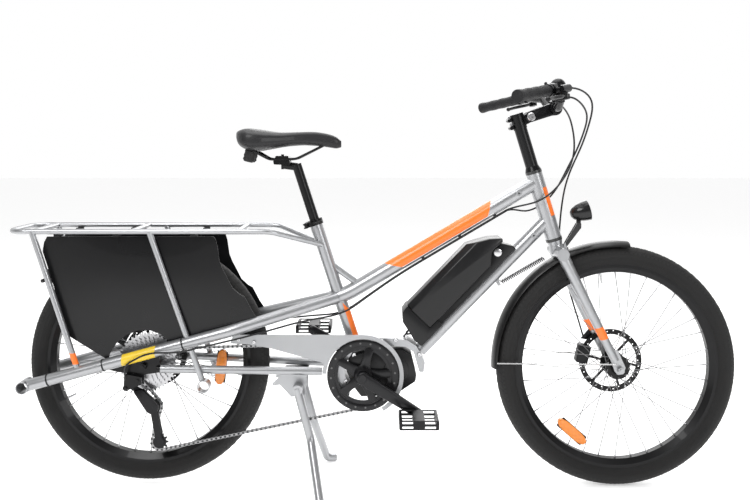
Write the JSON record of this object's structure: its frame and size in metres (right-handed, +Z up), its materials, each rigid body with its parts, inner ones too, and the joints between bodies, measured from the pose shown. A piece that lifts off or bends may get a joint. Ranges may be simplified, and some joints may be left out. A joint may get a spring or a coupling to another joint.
{
  "type": "cargo bicycle",
  "caption": "Longtail electric-assist cargo bicycle with low step-through frame, long rear rack, side skirts, mid motor, frame battery and two-leg centre stand.",
  "frame": {"origin": "on the ground, midway between the rearmost and foremost points, in the middle plane", "axes": "+X forwards, +Y to the rider's left, +Z up"},
  "size_m": [2.0163, 0.6908, 1.1342],
  "materials": {
    "frame_silver": "satin clear-coated",
    "fork_silver": "satin silver paint",
    "black_metal": "satin black",
    "steel": "bright",
    "black_plastic": "fine grain",
    "grey_plastic": "satin",
    "tyre": "moulded rubber",
    "rubber": "soft matt",
    "saddle_cover": "smooth"
  },
  "bodies": {
    "frame": {"head_tube": "frame_silver", "top_tube": "frame_silver", "down_tube": "frame_silver", "seat_tube": "frame_silver", "side_rails": "frame_silver", "loader_sockets": "frame_silver", "chainstays": "frame_silver", "rear_dropouts": "black_metal", "rack": "frame_silver", "rack_struts": "frame_silver", "motor_cradle": "frame_silver", "motor_housing": "black_metal", "battery_holder": "black_plastic", "chain_guard": "grey_plastic", "side_skirts": "black_plastic", "tail_light": "black_plastic", "seat_clamp": "black_metal", "rear_caliper": "black_metal", "frame_cables": "rubber", "ties_and_screws": "black_plastic", "chain": "steel", "steering_spring": "steel"},
    "fork": {"fork_crown": "fork_silver", "fork_legs": "fork_silver", "front_caliper": "black_metal", "front_fender": "black_plastic", "stem_base": "black_metal", "bar_cables": "rubber"},
    "bar": {"stem_arm": "black_metal", "handlebar": "black_metal", "grips": "rubber", "bar_controls": "black_metal"},
    "right_brake_lever": {"brake_lever_right": "black_metal"},
    "left_brake_lever": {"brake_lever_left": "black_metal"},
    "gear_lever": {"shift_lever": "black_plastic"},
    "assist_switch_button": {"assist_button": "black_plastic"},
    "striker": {"bell_striker": "black_plastic"},
    "front_wheel": {"front_tyre": "tyre", "front_rim": "black_metal", "front_hub": "black_metal", "front_spokes": "steel"},
    "rear_wheel": {"rear_tyre": "tyre", "rear_rim": "black_metal", "rear_hub": "black_metal", "rear_spokes": "steel"},
    "cranks": {"chainring": "black_metal", "crank_arms": "black_metal"},
    "right_pedal": {"pedal_right": "black_plastic"},
    "left_pedal": {"pedal_left": "black_plastic"},
    "sprockets": {"cassette": "steel"},
    "derailleur": {"derailleur_arm": "black_metal"},
    "cage": {"derailleur_cage": "black_metal"},
    "guide_pulley": {"pulley_upper": "black_plastic"},
    "tension_pulley": {"pulley_lower": "black_plastic"},
    "stand": {"stand_legs": "steel"},
    "post": {"seatpost": "black_metal", "saddle": "saddle_cover"},
    "seat_clamp_lever": {"clamp_lever": "black_metal"},
    "battery_pack": {"battery": "black_plastic"},
    "lamp": {"headlight": "black_plastic"}
  },
  "joints": [
    {"name": "steering", "type": "hinge", "parent": "frame", "child": "fork", "pos_m": [0.6124, 0, 0.31858], "axis": [-0.289, 0, 0.9573], "range_deg": [-60, 60], "stiffness_Nm_per_rad": 4, "deforming": ["steering_spring", "bar_cables", "frame_cables"]},
    {"name": "front_wheel_spin", "type": "hinge", "parent": "fork", "child": "front_wheel", "pos_m": [0.67175, 0, 0.3365], "axis": [0, 1, 0], "continuous": true},
    {"name": "rear_wheel_spin", "type": "hinge", "parent": "frame", "child": "rear_wheel", "pos_m": [-0.63625, 0, 0.3515], "axis": [0, 1, 0], "continuous": true},
    {"name": "crank_spin", "type": "hinge", "parent": "frame", "child": "cranks", "pos_m": [-0.03725, 0, 0.321], "axis": [0, 1, 0], "continuous": true},
    {"name": "right_pedal_spin", "type": "hinge", "parent": "cranks", "child": "right_pedal", "pos_m": [0.11116, 0, 0.22826], "axis": [0, 1, 0], "continuous": true},
    {"name": "left_pedal_spin", "type": "hinge", "parent": "cranks", "child": "left_pedal", "pos_m": [-0.18566, 0, 0.41374], "axis": [0, 1, 0], "continuous": true},
    {"name": "sprocket_spin", "type": "hinge", "parent": "frame", "child": "sprockets", "pos_m": [-0.63625, 0, 0.3515], "axis": [0, 1, 0], "continuous": true},
    {"name": "gear_shift", "type": "slide", "parent": "frame", "child": "derailleur", "axis": [0, 1, 0], "range_m": [-0.0158, 0.0197], "deforming": ["chain", "frame_cables"]},
    {"name": "cage_swing", "type": "hinge", "parent": "derailleur", "child": "cage", "pos_m": [-0.61425, -0.05, 0.236], "axis": [0, 1, 0], "range_deg": [-25, 35], "stiffness_Nm_per_rad": 2, "deforming": ["chain"]},
    {"name": "guide_pulley_spin", "type": "hinge", "parent": "cage", "child": "guide_pulley", "pos_m": [-0.61425, -0.05, 0.236], "axis": [0, 1, 0], "continuous": true},
    {"name": "tension_pulley_spin", "type": "hinge", "parent": "cage", "child": "tension_pulley", "pos_m": [-0.59825, -0.05, 0.137], "axis": [0, 1, 0], "continuous": true},
    {"name": "right_brake", "type": "hinge", "parent": "bar", "child": "right_brake_lever", "pos_m": [0.48045, -0.21778, 1.08235], "axis": [0.0877, 0.106, -0.9905], "range_deg": [0, 11], "stiffness_Nm_per_rad": 1.2},
    {"name": "left_brake", "type": "hinge", "parent": "bar", "child": "left_brake_lever", "pos_m": [0.48045, 0.21778, 1.08235], "axis": [-0.0877, 0.106, 0.9905], "range_deg": [0, 11], "stiffness_Nm_per_rad": 1.2},
    {"name": "gear_lever_push", "type": "hinge", "parent": "bar", "child": "gear_lever", "pos_m": [0.48186, -0.1753, 1.07289], "axis": [0.0877, 0.106, -0.9905], "range_deg": [-25, 0], "stiffness_Nm_per_rad": 0.2},
    {"name": "assist_press", "type": "slide", "parent": "bar", "child": "assist_switch_button", "axis": [0.0877, -0.106, -0.9905], "range_m": [0, 0.0015], "stiffness_N_per_m": 400},
    {"name": "bell_pluck", "type": "hinge", "parent": "bar", "child": "striker", "pos_m": [0.46723, -0.11632, 1.11116], "axis": [0, 1, 0], "range_deg": [-25, 30], "stiffness_Nm_per_rad": 0.02},
    {"name": "stem_angle", "type": "hinge", "parent": "fork", "child": "bar", "pos_m": [0.43075, 0, 1.034], "axis": [0, 1, 0], "range_deg": [-15, 20], "deforming": ["bar_cables"]},
    {"name": "seat_height", "type": "slide", "parent": "frame", "child": "post", "axis": [-0.309, 0, 0.9511], "range_m": [-0.1, 0.06]},
    {"name": "seat_clamp_open", "type": "hinge", "parent": "frame", "child": "seat_clamp_lever", "pos_m": [-0.19638, -0.0255, 0.72984], "axis": [-0.309, 0, 0.9511], "range_deg": [-150, 0]},
    {"name": "stand_fold", "type": "hinge", "parent": "frame", "child": "stand", "pos_m": [-0.21625, 0, 0.285], "axis": [0, 1, 0], "range_deg": [0, 80]},
    {"name": "battery_lift", "type": "slide", "parent": "frame", "child": "battery_pack", "axis": [-0.7158, 0, 0.6983], "range_m": [0, 0.018]},
    {"name": "lamp_tilt", "type": "hinge", "parent": "fork", "child": "lamp", "pos_m": [0.56981, 0, 0.72951], "axis": [0, 1, 0], "range_deg": [-15, 15]}
  ],
  "couplings": [
    {"joint": "sprocket_spin", "follows": "crank_spin", "ratio": 2.2},
    {"joint": "tension_pulley_spin", "follows": "crank_spin", "ratio": 4},
    {"joint": "guide_pulley_spin", "follows": "crank_spin", "ratio": -4}
  ]
}
